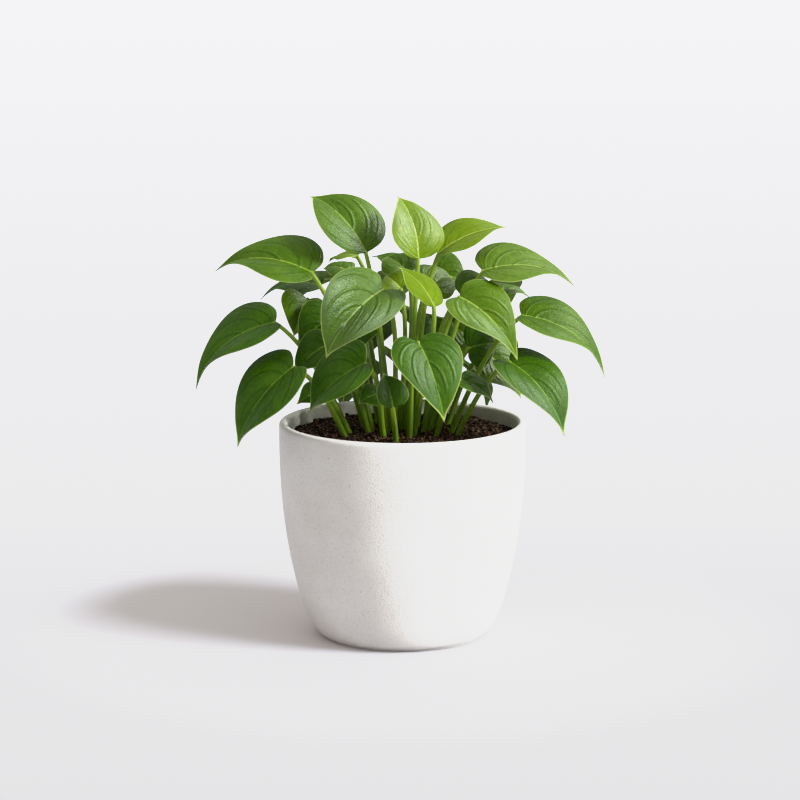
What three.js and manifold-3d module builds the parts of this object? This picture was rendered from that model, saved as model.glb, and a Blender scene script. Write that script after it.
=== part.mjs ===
// A potted house plant with heart-shaped leaves, each on its own stalk, in a round white pot.
// Millimetres, +Z up. The origin is the middle of the pot's foot, on the ground; the front is -Y.
import * as THREE from 'three';
import { mergeVertices } from 'three/addons/utils/BufferGeometryUtils.js';
import Module from 'manifold-3d';

// Pot
const POT_HEIGHT = 114;
const POT_RIM_RADIUS = 65;
const POT_BASE_RADIUS = 47.2;      // where the flaring wall would meet the ground
const POT_FLARE_POWER = 2.5;       // how soon the wall turns upright
const POT_CORNER_HEIGHT = 13;      // top of the rounded corner under the wall
const POT_FOOT_RADIUS = 43;
const POT_FOOT_HEIGHT = 1.2;
const POT_WALL = 4.6;
const POT_FLOOR = 8;
const WALL_RINGS = [26, 42, 62, 86];
const RIM_ANGLES = [0, 36, 72, 108, 144, 180];
const POT_SEGMENTS = 40;

// Soil
const FIT_GAP = 0.3;
const SOIL_EDGE_HEIGHT = 106.5;
const SOIL_DOME = 2.5;             // how much higher the soil is in the middle
const SOIL_RINGS = [1, 0.84, 0.64, 0.4, 0]; // from the edge to the middle
const CLOD_HEIGHT = 0.5;

// Stalks
const STALK_RADIUS = 1.5;          // at the soil
const STALK_TIP_RADIUS = 1.15;     // at the blade
const STALK_SIDES = 5;
const STALK_STEPS = 6;
const STALK_BURIED = 11;
const STALK_FAN_DEPTH = 45;        // the stalks spread as if from one point this far under the soil
const STALK_ROOT_HEIGHT = 110;     // from here down each stalk is straight, in its hole
const STALK_START = 0.7;           // 1 = sets out straight for its blade, 0 = straight up
const STALK_END = 0.65;            // 1 = arrives straight from its root, 0 = in line with the midrib
const STALK_START_PULL = 0.35;     // how far both directions carry, as a share of the stalk's length
const STALK_END_PULL = 0.3;
const STALK_INTO_BLADE = 2.5;
const STALK_POINT = 0.5;           // how thin the stalk's end in the blade is
const HOLE_SIDES = 5;
const HOLE_ABOVE_ROOT = 4;

// Blades. Each outline is one half, from the stalk to the tip, as distance along the blade (length 1)
// and out to the side (half width 1).
const HEART = outline([[0, 0], [-0.06, 0.21], [-0.075, 0.48], [0.01, 0.79], [0.17, 0.98],
  [0.36, 0.95], [0.56, 0.72], [0.745, 0.4], [0.89, 0.12], [1, 0]]);
const OVAL = outline([[0, 0], [0.01, 0.22], [0.04, 0.48], [0.12, 0.76], [0.25, 0.96],
  [0.42, 0.95], [0.6, 0.74], [0.77, 0.42], [0.9, 0.13], [1, 0]]);
const SLIM = outline([[0, 0], [-0.03, 0.21], [-0.03, 0.48], [0.04, 0.8], [0.18, 0.98],
  [0.35, 0.91], [0.52, 0.66], [0.69, 0.38], [0.86, 0.14], [1, 0]]);
const VEIN_SPACING = 2.4;          // side veins leave the midrib closer together near the stalk
const VEIN_SWEEP = 1.2;            // and sweep forward on their way to the margin
const BLADE_THICKNESS = 0.8;
const BLADE_ARCH = 0.35;           // how far the margins turn down again outside the fold
const BLADE_ACROSS = [-1, -0.5, 0, 0.5, 1];
const BLADE_ROWS = 8;
const SMALL_BLADE_ROWS = 6;        // for blades narrower than the next width
const SMALL_BLADE_WIDTH = 31;

// Each leaf: name, where its blade joins the stalk, its tip, roll about its length from facing up,
// width, bend of the midrib, fold of the halves (degrees), and outline.
const LEAVES = [
  ['crown_left', [-19, -4, 203], [-49, 20, 230], -14, 41, 58, 28, OVAL],
  ['crown_middle', [8, -12, 201], [-3, 4, 232], 5, 34, 60, 26, OVAL],
  ['crown_right', [19, 4, 202], [55, 16, 214], 22, 28, 45, 30, OVAL],
  ['crown_front', [16, -41, 180], [-3, -28, 199], 5, 30, 45, 20, OVAL],
  ['upper_left', [-47, -13, 194], [-99, 10, 191], -25, 42, 68, 28, SLIM],
  ['upper_right', [42, -6, 194], [91, 10, 183], 22, 41, 64, 26, SLIM],
  ['front_left', [-10, -34, 188], [-39, -44, 154], -40, 42, 70, 32, HEART],
  ['front_right', [29, -25, 183], [59, -32, 151], 36, 36, 70, 30, SLIM],
  ['front_low', [8, -48, 163], [21, -70, 126], 10, 37, 50, 26, HEART],
  ['middle_left', [-66, -14, 168], [-108, -8, 131], -30, 40, 74, 28, SLIM],
  ['middle_right', [62, -10, 171], [106, -4, 137], 26, 40, 74, 28, SLIM],
  ['low_left', [-56, -34, 148], [-85, -34, 106], -35, 43, 50, 25, HEART],
  ['low_right', [55, -24, 149], [83, -40, 113], 15, 38, 60, 28, HEART],
  ['low_front', [-19, -46, 152], [-48, -40, 125], -34, 44, 45, 28, HEART],
  ['behind_upper_left', [-44, 24, 182], [-76, 32, 173], -14, 30, 66, 20, SLIM],
  ['behind_left', [-50, 9, 177], [-57, 4, 158], -50, 26, 80, 32, SLIM],
  ['inner_left', [-37, -1, 169], [-55, -3, 155], -66, 28, 55, 24, HEART],
  ['inner_low_left', [-37, -19, 158], [-56, -21, 142], -38, 27, 50, 24, HEART],
  ['small_left', [-42, -15, 132], [-55, -20, 126], -35, 18, 40, 24, SLIM],
  ['back_left_pale', [-24, 42, 195], [-40, 50, 191], -8, 17, 55, 20, OVAL],
  ['back_left', [-29, 28, 189], [-43, 36, 189], -15, 20, 55, 20, HEART],
  ['back_crown', [3, 24, 188], [-17, 34, 196], -8, 22, 60, 24, HEART],
  ['back_crown_small', [3, 12, 190], [-9, 25, 197], -20, 24, 50, 24, OVAL],
  ['inner_crown', [-1, -3, 184], [-9, 3, 190], -30, 21, 50, 24, OVAL],
  ['inner_crown_right', [13, 13, 183], [26, 28, 186], 40, 25, 50, 24, HEART],
  ['back_crown_right', [18, 42, 185], [35, 42, 181], 50, 30, 55, 24, HEART],
  ['inner_right', [31, 8, 179], [51, 12, 179], 32, 32, 60, 26, HEART],
  ['behind_right', [50, 20, 180], [68, 26, 175], 10, 20, 50, 22, SLIM],
  ['under_right', [44, 20, 147], [63, 20, 122], 45, 32, 50, 20, SLIM],
  ['inner_low_right', [35, 3, 152], [50, 7, 154], 60, 26, 50, 24, HEART],
  ['small_right', [30, -27, 140], [47, -28, 128], 20, 21, 50, 26, SLIM],
  ['small_front', [-5, -45, 129], [-10, -38, 146], -8, 19, 30, 34, OVAL],
  ['small_inner', [-12, -16, 131], [-23, -19, 126], -35, 17, 40, 24, HEART],
  ['inner_bright', [25, 27, 160], [43, 29, 147], 60, 26, 50, 24, HEART],
  ['inner_back_right', [17, 20, 164], [17, 12, 145], 0, 20, 45, 24, HEART],
  ['inner_back_left', [-17, 11, 166], [-24, 4, 147], -4, 22, 45, 24, HEART],
];

// The leaves at the back, in tiers from one side of the plant round to the other. Each tier has a
// count, the first and last direction (degrees from +X towards +Y), the height of the joints and
// their distance from the middle, how far and how deep the blades reach, and their width.
const BACK_TIERS = [
  { name: 'upper', count: 3, from: 50, to: 130, height: 180, radius: 58, reach: 42, drop: 22, width: 38 },
  { name: 'middle', count: 3, from: 55, to: 113, height: 156, radius: 62, reach: 36, drop: 36, width: 40 },
  { name: 'low', count: 3, from: 62, to: 120, height: 136, radius: 58, reach: 28, drop: 34, width: 36 },
];
const BACK_BEND = 60;
const BACK_FOLD = 26;
const BACK_VARIATION = 5;          // how far the places and sizes stray from the even rule

const rad = THREE.MathUtils.degToRad;
const UP = new THREE.Vector3(0, 0, 1);

const wasm = await Module();
wasm.setup();

function toSolid(geometry) {
  const bare = geometry.clone();
  bare.deleteAttribute('normal');
  bare.deleteAttribute('uv');
  const merged = mergeVertices(bare, 1e-5);
  return new wasm.Manifold(new wasm.Mesh({
    numProp: 3,
    vertProperties: new Float32Array(merged.attributes.position.array),
    triVerts: new Uint32Array(merged.index.array),
  }));
}

function toGeometry(solid) {
  const mesh = solid.getMesh();
  const geometry = new THREE.BufferGeometry();
  geometry.setAttribute('position', new THREE.BufferAttribute(new Float32Array(mesh.vertProperties), 3));
  geometry.setIndex(new THREE.BufferAttribute(new Uint32Array(mesh.triVerts), 1));
  geometry.computeVertexNormals();
  return geometry;
}

function fromFaces(points, faces) {
  const geometry = new THREE.BufferGeometry();
  geometry.setFromPoints(points);
  geometry.setIndex(faces.flat());
  return geometry;
}

// ---------- pot ----------

function wallRadius(z) {
  const flare = 1 - (1 - z / POT_HEIGHT) ** POT_FLARE_POWER;
  return POT_BASE_RADIUS + (POT_RIM_RADIUS - POT_BASE_RADIUS) * flare;
}

function lathe(profile, segments) {
  const geometry = new THREE.LatheGeometry(profile, segments);
  geometry.rotateX(Math.PI / 2);
  return geometry;
}

function potGeometry() {
  const corner = new THREE.QuadraticBezierCurve(
    new THREE.Vector2(POT_FOOT_RADIUS, POT_FOOT_HEIGHT),
    new THREE.Vector2(wallRadius(0), POT_FOOT_HEIGHT),
    new THREE.Vector2(wallRadius(POT_CORNER_HEIGHT), POT_CORNER_HEIGHT),
  ).getPoints(5);
  const lip = POT_WALL / 2;
  const lipHeight = POT_HEIGHT - lip;
  const outer = WALL_RINGS.map((z) => new THREE.Vector2(wallRadius(z), z));
  const rim = RIM_ANGLES.map((angle) => new THREE.Vector2(
    wallRadius(lipHeight) - lip + lip * Math.cos(rad(angle)),
    lipHeight + lip * Math.sin(rad(angle)),
  ));
  const inner = [...WALL_RINGS].reverse().map((z) => new THREE.Vector2(wallRadius(z) - POT_WALL, z));
  const profile = [
    new THREE.Vector2(0, 0),
    new THREE.Vector2(POT_FOOT_RADIUS, 0),
    ...corner, ...outer, ...rim, ...inner,
    new THREE.Vector2(wallRadius(POT_CORNER_HEIGHT) - POT_WALL, POT_CORNER_HEIGHT),
    new THREE.Vector2(POT_FOOT_RADIUS, POT_FLOOR),
    new THREE.Vector2(0, POT_FLOOR),
  ];
  return lathe(profile, POT_SEGMENTS);
}

// ---------- leaves ----------

function outline(points) {
  return new THREE.SplineCurve(points.map(([x, y]) => new THREE.Vector2(x, y)));
}

// A place on the flat blade. Lines of equal u are its side veins, from the stalk (0) to the tip (1);
// v runs across, from one margin (-1) over the midrib to the other (1).
function flatPoint(shape, u, v) {
  const margin = shape.getPoint(u);
  const out = Math.abs(v) ** VEIN_SWEEP;
  return [u ** VEIN_SPACING * (1 - out) + margin.x * out, margin.y * v];
}

class Blade {
  constructor(joint, tip, roll, width, bend, fold, shape) {
    this.joint = new THREE.Vector3(...joint);
    const chord = new THREE.Vector3(...tip).sub(this.joint);
    this.forward = chord.clone().normalize();
    const level = UP.clone().addScaledVector(this.forward, -this.forward.z).normalize();
    this.facing = level.clone().multiplyScalar(Math.cos(rad(roll)))
      .add(this.forward.clone().cross(level).multiplyScalar(Math.sin(rad(roll))));
    this.side = this.facing.clone().cross(this.forward);
    this.halfWidth = width / 2;
    this.bend = rad(bend);
    this.bendRadius = chord.length() / (2 * Math.sin(this.bend / 2));
    this.foldSlope = Math.tan(rad(fold));
    this.shape = shape;
    this.rows = width < SMALL_BLADE_WIDTH ? SMALL_BLADE_ROWS : BLADE_ROWS;
  }

  // The point at (u, v), raised from the middle of the blade's thickness by lift.
  point(u, v, lift) {
    const [along, across] = flatPoint(this.shape, u, v);
    const turn = this.bend * (0.5 - along);
    const reach = this.bendRadius * (Math.sin(this.bend / 2) - Math.sin(turn));
    const rise = this.bendRadius * (Math.cos(turn) - Math.cos(this.bend / 2));
    const normal = this.facing.clone().multiplyScalar(Math.cos(turn))
      .addScaledVector(this.forward, -Math.sin(turn));
    const cup = this.halfWidth * (this.foldSlope * Math.abs(across) - BLADE_ARCH * across ** 2);
    return this.joint.clone()
      .addScaledVector(this.forward, reach)
      .addScaledVector(this.facing, rise)
      .addScaledVector(this.side, this.halfWidth * across)
      .addScaledVector(normal, cup + lift);
  }

  // The direction in which the midrib leaves the stalk.
  start() {
    return this.forward.clone().multiplyScalar(Math.cos(this.bend / 2))
      .addScaledVector(this.facing, Math.sin(this.bend / 2));
  }

  geometry() {
    const points = [];
    const faces = [];
    const rows = this.rows;
    const columns = BLADE_ACROSS.length;
    const layer = rows * columns;
    for (const lift of [BLADE_THICKNESS / 2, -BLADE_THICKNESS / 2]) {
      for (let row = 0; row < rows; row += 1) {
        for (const v of BLADE_ACROSS) {
          points.push(this.point(row / (rows - 1), v, lift));
        }
      }
    }
    const quad = (a, b, c, d) => faces.push([a, c, b], [a, d, c]);
    for (let row = 0; row < rows - 1; row += 1) {
      const from = row * columns;
      const to = from + columns;
      for (let column = 0; column < columns - 1; column += 1) {
        const [a, b, c, d] = [from + column, from + column + 1, to + column + 1, to + column];
        quad(a, b, c, d);
        quad(a + layer, d + layer, c + layer, b + layer);
      }
      quad(from, to, to + layer, from + layer);
      quad(from + columns - 1, from + columns - 1 + layer, to + columns - 1 + layer, to + columns - 1);
    }
    return fromFaces(points, faces);
  }
}

// A closed round tube through the given points, with the given radii.
function tube(points, radii, sides) {
  const rings = [];
  let side = new THREE.Vector3(1, 0, 0);
  points.forEach((point, index) => {
    const before = points[Math.max(index - 1, 0)];
    const after = points[Math.min(index + 1, points.length - 1)];
    const along = after.clone().sub(before).normalize();
    side = side.clone().addScaledVector(along, -side.dot(along)).normalize();
    const other = along.clone().cross(side);
    for (let i = 0; i < sides; i += 1) {
      const angle = (2 * Math.PI * i) / sides;
      rings.push(point.clone()
        .addScaledVector(side, radii[index] * Math.cos(angle))
        .addScaledVector(other, radii[index] * Math.sin(angle)));
    }
  });
  const faces = [];
  const last = (points.length - 1) * sides;
  for (let start = 0; start < last; start += sides) {
    for (let i = 0; i < sides; i += 1) {
      const next = (i + 1) % sides;
      faces.push([start + i, start + next, start + sides + next]);
      faces.push([start + i, start + sides + next, start + sides + i]);
    }
  }
  for (let i = 1; i < sides - 1; i += 1) {
    faces.push([0, i + 1, i]);
    faces.push([last, last + i, last + i + 1]);
  }
  return fromFaces(rings, faces);
}

// The stalk's middle line: straight in the soil, then one curve up to the blade and a little into it.
function stalkRoute(blade) {
  const joint = blade.joint;
  const spread = STALK_FAN_DEPTH / (STALK_FAN_DEPTH + joint.z - STALK_ROOT_HEIGHT);
  const root = new THREE.Vector3(joint.x * spread, joint.y * spread, STALK_ROOT_HEIGHT);
  const chord = joint.clone().sub(root);
  const length = chord.length();
  chord.normalize();
  const start = chord.clone().multiplyScalar(STALK_START).addScaledVector(UP, 1 - STALK_START).normalize();
  const end = chord.clone().multiplyScalar(STALK_END)
    .addScaledVector(blade.start(), 1 - STALK_END).normalize();
  const curve = new THREE.CubicBezierCurve3(
    root,
    root.clone().addScaledVector(start, STALK_START_PULL * length),
    joint.clone().addScaledVector(end, -STALK_END_PULL * length),
    joint,
  );
  const buried = root.clone().addScaledVector(start, -STALK_BURIED);
  const inside = joint.clone().addScaledVector(blade.start(), STALK_INTO_BLADE);
  return { root, start, points: [buried, ...curve.getPoints(STALK_STEPS), inside] };
}

function stalkRadius(share) {
  return STALK_RADIUS + (STALK_TIP_RADIUS - STALK_RADIUS) * share;
}

function leafGeometry(blade) {
  const { points } = stalkRoute(blade);
  const radii = points.map((point, index) => stalkRadius(Math.max(index - 1, 0) / (points.length - 2)));
  radii[radii.length - 1] *= STALK_POINT;
  const stalk = toSolid(tube(points, radii, STALK_SIDES));
  return toGeometry(toSolid(blade.geometry()).add(stalk));
}

// One varying number between -1 and 1 for each leaf and use.
function stray(index, use) {
  return Math.sin(12.9 * index + 4.1 * use);
}

function backLeaves() {
  const leaves = [];
  for (const tier of BACK_TIERS) {
    for (let i = 0; i < tier.count; i += 1) {
      const seed = leaves.length + 1;
      const turn = tier.from + ((tier.to - tier.from) * i) / (tier.count - 1);
      const angle = rad(turn + BACK_VARIATION * stray(seed, 1));
      const radius = tier.radius + BACK_VARIATION * stray(seed, 2);
      const height = tier.height + BACK_VARIATION * stray(seed, 3);
      const reach = radius + tier.reach + BACK_VARIATION * stray(seed, 4);
      const tipAngle = angle + rad(2 * BACK_VARIATION * stray(seed, 5));
      leaves.push([
        `back_${tier.name}_${i + 1}`,
        [radius * Math.cos(angle), radius * Math.sin(angle), height],
        [reach * Math.cos(tipAngle), reach * Math.sin(tipAngle), height - tier.drop],
        4 * BACK_VARIATION * stray(seed, 6),
        tier.width + BACK_VARIATION * stray(seed, 7),
        BACK_BEND, BACK_FOLD, HEART,
      ]);
    }
  }
  return leaves;
}

// ---------- soil ----------

// The soil's surface is a low dome with clods, which fade out towards the middle.
function soilHeight(radius, angle, edge) {
  const share = radius / edge;
  const clods = CLOD_HEIGHT * Math.sin(5 * angle + radius) * Math.sin(radius / 3) * share;
  return SOIL_EDGE_HEIGHT + SOIL_DOME * (1 - share ** 2) + clods;
}

function soilGeometry(blades) {
  const fit = (z) => wallRadius(z) - POT_WALL - 2 * FIT_GAP;
  const edge = fit(SOIL_EDGE_HEIGHT);
  const profile = [
    new THREE.Vector2(0, POT_FLOOR + FIT_GAP),
    new THREE.Vector2(POT_FOOT_RADIUS - 1, POT_FLOOR + FIT_GAP),
    new THREE.Vector2(fit(POT_CORNER_HEIGHT) - FIT_GAP, POT_CORNER_HEIGHT),
    ...WALL_RINGS.map((z) => new THREE.Vector2(fit(z), z)),
    ...SOIL_RINGS.map((share) => new THREE.Vector2(edge * share, SOIL_EDGE_HEIGHT)),
  ];
  const geometry = lathe(profile, POT_SEGMENTS);
  const position = geometry.attributes.position;
  for (let i = 0; i < position.count; i += 1) {
    const radius = Math.hypot(position.getX(i), position.getY(i));
    const onTop = position.getZ(i) === Math.fround(SOIL_EDGE_HEIGHT) && radius < edge - 1;
    if (onTop) {
      const angle = radius > 0 ? Math.atan2(position.getY(i), position.getX(i)) : 0;
      position.setZ(i, soilHeight(radius, angle, edge));
    }
  }
  let solid = toSolid(geometry);
  for (const blade of blades) {
    const { root, start } = stalkRoute(blade);
    const bottom = root.clone().addScaledVector(start, -STALK_BURIED - FIT_GAP);
    const top = root.clone().addScaledVector(start, HOLE_ABOVE_ROOT);
    const radius = (STALK_RADIUS + FIT_GAP) / Math.cos(Math.PI / HOLE_SIDES);
    solid = solid.subtract(toSolid(tube([bottom, top], [radius, radius], HOLE_SIDES)));
  }
  return toGeometry(solid);
}

// ---------- the object ----------

function material(color, roughness) {
  return new THREE.MeshStandardMaterial({ color, roughness, metalness: 0 });
}

const plant = new THREE.Group();

function addPart(name, geometry, look) {
  const mesh = new THREE.Mesh(geometry, look);
  mesh.name = name;
  plant.add(mesh);
}

const stone = material(0xe6e4e0, 0.8);
const earth = material(0x3a2a20, 0.95);
const green = material(0x4f8a2c, 0.4);

const leaves = [...LEAVES, ...backLeaves()];
const blades = leaves.map(([, ...shape]) => new Blade(...shape));
addPart('pot', toGeometry(toSolid(potGeometry())), stone);
addPart('soil', soilGeometry(blades), earth);
leaves.forEach(([name], index) => addPart(`leaf_${name}`, leafGeometry(blades[index]), green));

export default plant;
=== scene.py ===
"""The looks of a house plant with heart-shaped leaves on long stalks, in a speckled white pot.

Sizes are millimetres, as in the construction, and become metres where a mesh is made. +Z is up, the
front is -Y and the origin is the middle of the pot's foot, on the ground.
"""
import math
import random

import bmesh
import bpy
import numpy as np
from mathutils import Matrix, Vector, noise


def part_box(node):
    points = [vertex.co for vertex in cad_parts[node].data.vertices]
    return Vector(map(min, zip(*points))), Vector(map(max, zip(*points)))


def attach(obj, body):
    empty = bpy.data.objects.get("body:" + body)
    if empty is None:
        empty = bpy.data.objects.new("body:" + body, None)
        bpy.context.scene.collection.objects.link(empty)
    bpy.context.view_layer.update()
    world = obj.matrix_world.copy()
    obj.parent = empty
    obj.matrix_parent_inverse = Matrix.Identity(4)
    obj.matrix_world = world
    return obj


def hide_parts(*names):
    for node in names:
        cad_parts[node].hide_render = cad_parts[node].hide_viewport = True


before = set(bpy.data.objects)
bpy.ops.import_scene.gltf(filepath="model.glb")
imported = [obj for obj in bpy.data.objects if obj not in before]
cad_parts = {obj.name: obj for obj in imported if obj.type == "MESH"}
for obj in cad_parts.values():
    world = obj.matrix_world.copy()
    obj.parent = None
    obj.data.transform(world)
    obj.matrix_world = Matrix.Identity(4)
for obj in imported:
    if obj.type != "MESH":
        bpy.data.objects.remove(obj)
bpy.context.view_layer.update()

MM = 0.001
UP = np.array([0.0, 0.0, 1.0])

# ---------- sizes that the construction has too ----------

POT_HEIGHT = 114
POT_RIM_RADIUS = 65
POT_BASE_RADIUS = 47.2
POT_FLARE_POWER = 2.5
POT_CORNER_HEIGHT = 13
POT_FOOT_RADIUS = 43
POT_FOOT_HEIGHT = 1.2
POT_WALL = 4.6
POT_FLOOR = 8

SOIL_GAP = 0.6                # between soil and pot
SOIL_EDGE_HEIGHT = 106.5
SOIL_DOME = 2.5
SOIL_FLOOR_GAP = 0.3

STALK_RADIUS = 1.5
STALK_TIP_RADIUS = 1.15
STALK_BURIED = 11
STALK_FAN_DEPTH = 45
STALK_ROOT_HEIGHT = 110
STALK_START = 0.7
STALK_END = 0.65
STALK_START_PULL = 0.35
STALK_END_PULL = 0.3

# Half an outline from the stalk to the tip: distance along the blade (length 1), half width (1).
HEART = ((0, 0), (-0.06, 0.21), (-0.075, 0.48), (0.01, 0.79), (0.17, 0.98),
         (0.36, 0.95), (0.56, 0.72), (0.745, 0.4), (0.89, 0.12), (1, 0))
OVAL = ((0, 0), (0.01, 0.22), (0.04, 0.48), (0.12, 0.76), (0.25, 0.96),
        (0.42, 0.95), (0.6, 0.74), (0.77, 0.42), (0.9, 0.13), (1, 0))
SLIM = ((0, 0), (-0.03, 0.21), (-0.03, 0.48), (0.04, 0.8), (0.18, 0.98),
        (0.35, 0.91), (0.52, 0.66), (0.69, 0.38), (0.86, 0.14), (1, 0))
VEIN_SPACING = 2.4
VEIN_SWEEP = 1.2
BLADE_ARCH = 0.35

# name, joint of blade and stalk, tip, roll, width, bend, fold, outline
LEAVES = (
    ("crown_left", (-19, -4, 203), (-49, 20, 230), -14, 41, 58, 28, OVAL),
    ("crown_middle", (8, -12, 201), (-3, 4, 232), 5, 34, 60, 26, OVAL),
    ("crown_right", (19, 4, 202), (55, 16, 214), 22, 28, 45, 30, OVAL),
    ("crown_front", (16, -41, 180), (-3, -28, 199), 5, 30, 45, 20, OVAL),
    ("upper_left", (-47, -13, 194), (-99, 10, 191), -25, 42, 68, 28, SLIM),
    ("upper_right", (42, -6, 194), (91, 10, 183), 22, 41, 64, 26, SLIM),
    ("front_left", (-10, -34, 188), (-39, -44, 154), -40, 42, 70, 32, HEART),
    ("front_right", (29, -25, 183), (59, -32, 151), 36, 36, 70, 30, SLIM),
    ("front_low", (8, -48, 163), (21, -70, 126), 10, 37, 50, 26, HEART),
    ("middle_left", (-66, -14, 168), (-108, -8, 131), -30, 40, 74, 28, SLIM),
    ("middle_right", (62, -10, 171), (106, -4, 137), 26, 40, 74, 28, SLIM),
    ("low_left", (-56, -34, 148), (-85, -34, 106), -35, 43, 50, 25, HEART),
    ("low_right", (55, -24, 149), (83, -40, 113), 15, 38, 60, 28, HEART),
    ("low_front", (-19, -46, 152), (-48, -40, 125), -34, 44, 45, 28, HEART),
    ("behind_upper_left", (-44, 24, 182), (-76, 32, 173), -14, 30, 66, 20, SLIM),
    ("behind_left", (-50, 9, 177), (-57, 4, 158), -50, 26, 80, 32, SLIM),
    ("inner_left", (-37, -1, 169), (-55, -3, 155), -66, 28, 55, 24, HEART),
    ("inner_low_left", (-37, -19, 158), (-56, -21, 142), -38, 27, 50, 24, HEART),
    ("small_left", (-42, -15, 132), (-55, -20, 126), -35, 18, 40, 24, SLIM),
    ("back_left_pale", (-24, 42, 195), (-40, 50, 191), -8, 17, 55, 20, OVAL),
    ("back_left", (-29, 28, 189), (-43, 36, 189), -15, 20, 55, 20, HEART),
    ("back_crown", (3, 24, 188), (-17, 34, 196), -8, 22, 60, 24, HEART),
    ("back_crown_small", (3, 12, 190), (-9, 25, 197), -20, 24, 50, 24, OVAL),
    ("inner_crown", (-1, -3, 184), (-9, 3, 190), -30, 21, 50, 24, OVAL),
    ("inner_crown_right", (13, 13, 183), (26, 28, 186), 40, 25, 50, 24, HEART),
    ("back_crown_right", (18, 42, 185), (35, 42, 181), 50, 30, 55, 24, HEART),
    ("inner_right", (31, 8, 179), (51, 12, 179), 32, 32, 60, 26, HEART),
    ("behind_right", (50, 20, 180), (68, 26, 175), 10, 20, 50, 22, SLIM),
    ("under_right", (44, 20, 147), (63, 20, 122), 45, 32, 50, 20, SLIM),
    ("inner_low_right", (35, 3, 152), (50, 7, 154), 60, 26, 50, 24, HEART),
    ("small_right", (30, -27, 140), (47, -28, 128), 20, 21, 50, 26, SLIM),
    ("small_front", (-5, -45, 129), (-10, -38, 146), -8, 19, 30, 34, OVAL),
    ("small_inner", (-12, -16, 131), (-23, -19, 126), -35, 17, 40, 24, HEART),
    ("inner_bright", (25, 27, 160), (43, 29, 147), 60, 26, 50, 24, HEART),
    ("inner_back_right", (17, 20, 164), (17, 12, 145), 0, 20, 45, 24, HEART),
    ("inner_back_left", (-17, 11, 166), (-24, 4, 147), -4, 22, 45, 24, HEART),
)

# The leaves at the back: tier, count, first and last direction, height of the joints, their
# distance from the middle, reach, drop and width of the blades.
BACK_TIERS = (
    ("upper", 3, 50, 130, 180, 58, 42, 22, 38),
    ("middle", 3, 55, 113, 156, 62, 36, 36, 40),
    ("low", 3, 62, 120, 136, 58, 28, 34, 36),
)
BACK_BEND = 60
BACK_FOLD = 26
BACK_VARIATION = 5
STRAY_STEPS = (12.9, 4.1)     # how far apart leaves, and uses, lie on the wave behind the strays

# ---------- sizes that only the looks have ----------

POT_FOOT_EDGE = ((-1.5, 0), (-0.3, 0.15))   # out from the foot's radius, height
POT_FLOOR_EDGE = ((1.5, 1), (-1.5, 0))      # inside: out from the foot's radius, over the floor
POT_SEGMENTS = 192
POT_WALL_STEPS = 40
POT_CORNER_STEPS = 12
POT_LIP_STEPS = 14
POT_SHARP_FROM = 50           # edges sharper than this many degrees stay sharp
SOIL_SHARP_FROM = 40
LEAF_SHARP_FROM = 60

BLADE_ROWS = 66
BLADE_COLUMNS = 29            # odd, so that one column is the midrib
COLUMN_CROWDING = 1.15        # above 1, columns lie closer together at the midrib
BLADE_THICKNESS = 0.5
MARGIN_THICKNESS = 0.22
MARGIN_SHARPNESS = 6          # the higher, the closer to the margin the blade gets thin
THICK_FROM = (0.0, 0.04)      # where the blade gets thicker behind the stalk, thinner at the tip
THIN_FROM = (0.97, 1.0)
FOLD_SOFTNESS = 0.05          # how round the fold at the midrib is, as a share of the half width
VEINS = 5                     # side veins on each half
VEIN_LEAN = 0.38              # how far a side vein runs on towards the tip as it nears the margin
VEIN_CURVE = 1.3
VEIN_GAP_RANGE = (0.4, 20)    # the least and the most distance between side veins that is used
PILLOW = 0.45                 # how far the blade swells between its side veins
PILLOW_FULLNESS = 0.7         # below 1, the swellings are fuller and the furrows narrower
PILLOW_MIDDLE = 0.75          # below 1, the swellings are highest nearer to the midrib
RELIEF_START = (0.03, 0.2)    # where swellings and waves begin and end on the way to the tip
RELIEF_END = (0.72, 0.95)
WAVE = 0.5                    # how far the margins wave
WAVES = 2.2                   # how many waves a margin has
WAVE_STRAY = (2.4, 1.3)       # how far waves shift from leaf to leaf and from margin to margin
FURROW_WIDTH = 1.3            # from a side vein to where its furrow ends
FURROW_DEPTH = 0.5
QUILT_SCALE = 380             # the blade's soft small dimples: how many in a metre
QUILT_DEPTH = 0.3
GRAIN_SCALE = 1300
GRAIN_DEPTH = 0.3
YOUNG_RELIEF = 0.5            # how much of these bumps the young leaves have
RIB_RADIUS = 0.85             # the midrib under the blade, at the stalk
RIB_TIP_RADIUS = 0.12
RIB_TAPER = 1.3
RIB_SPAN = (0.04, 0.97)       # where it begins and ends, as shares of the blade's length
RIB_DROP = 0.75               # how far it hangs under the blade's middle, in its own radii
LEAF_PLACE_TOLERANCE = 3      # how far a leaf's box may be from its node's
STALK_SIDES = 12
STALK_STEPS = 32
RIB_STEPS = 24

SOIL_BASE_RADIUS = 41.5
SOIL_WALL_HEIGHTS = (15, 30, 50, 75, 98, 104)
SOIL_RING_STEP = 0.85
SOIL_INNER_RING = 1.0
SOIL_SEGMENTS = 300
SOIL_CLODS = 1.6              # height of the clods in the soil's surface
CLOD_SIZES = ((6.0, 0.6), (2.3, 0.5))       # size of the clods, their share in that height
GRAIN_SIZE = 1.1
GRAIN_HEIGHT = 0.55
SOIL_SETTLED = 0.3            # how far the surface has settled
SOIL_SEED = 7
CRUMBS = 5200
CRUMB_SMALL = 0.4             # radius
CRUMB_LARGE = 1.5
CRUMB_RARITY = 2.2            # the higher, the fewer large crumbs
CRUMB_ROUND = 1.15            # crumbs above this radius are made of more faces
CRUMB_DENTS = 0.22            # as a share of the radius
CRUMB_TILT = 0.5              # radians
CRUMB_RISE = (-0.1, 0.55)     # how far crumbs stick out of the surface, in their own radii
CRUMB_EDGE_GAP = 0.3
CRUMB_WIDTHS = (0.75, 1.3)
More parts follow.
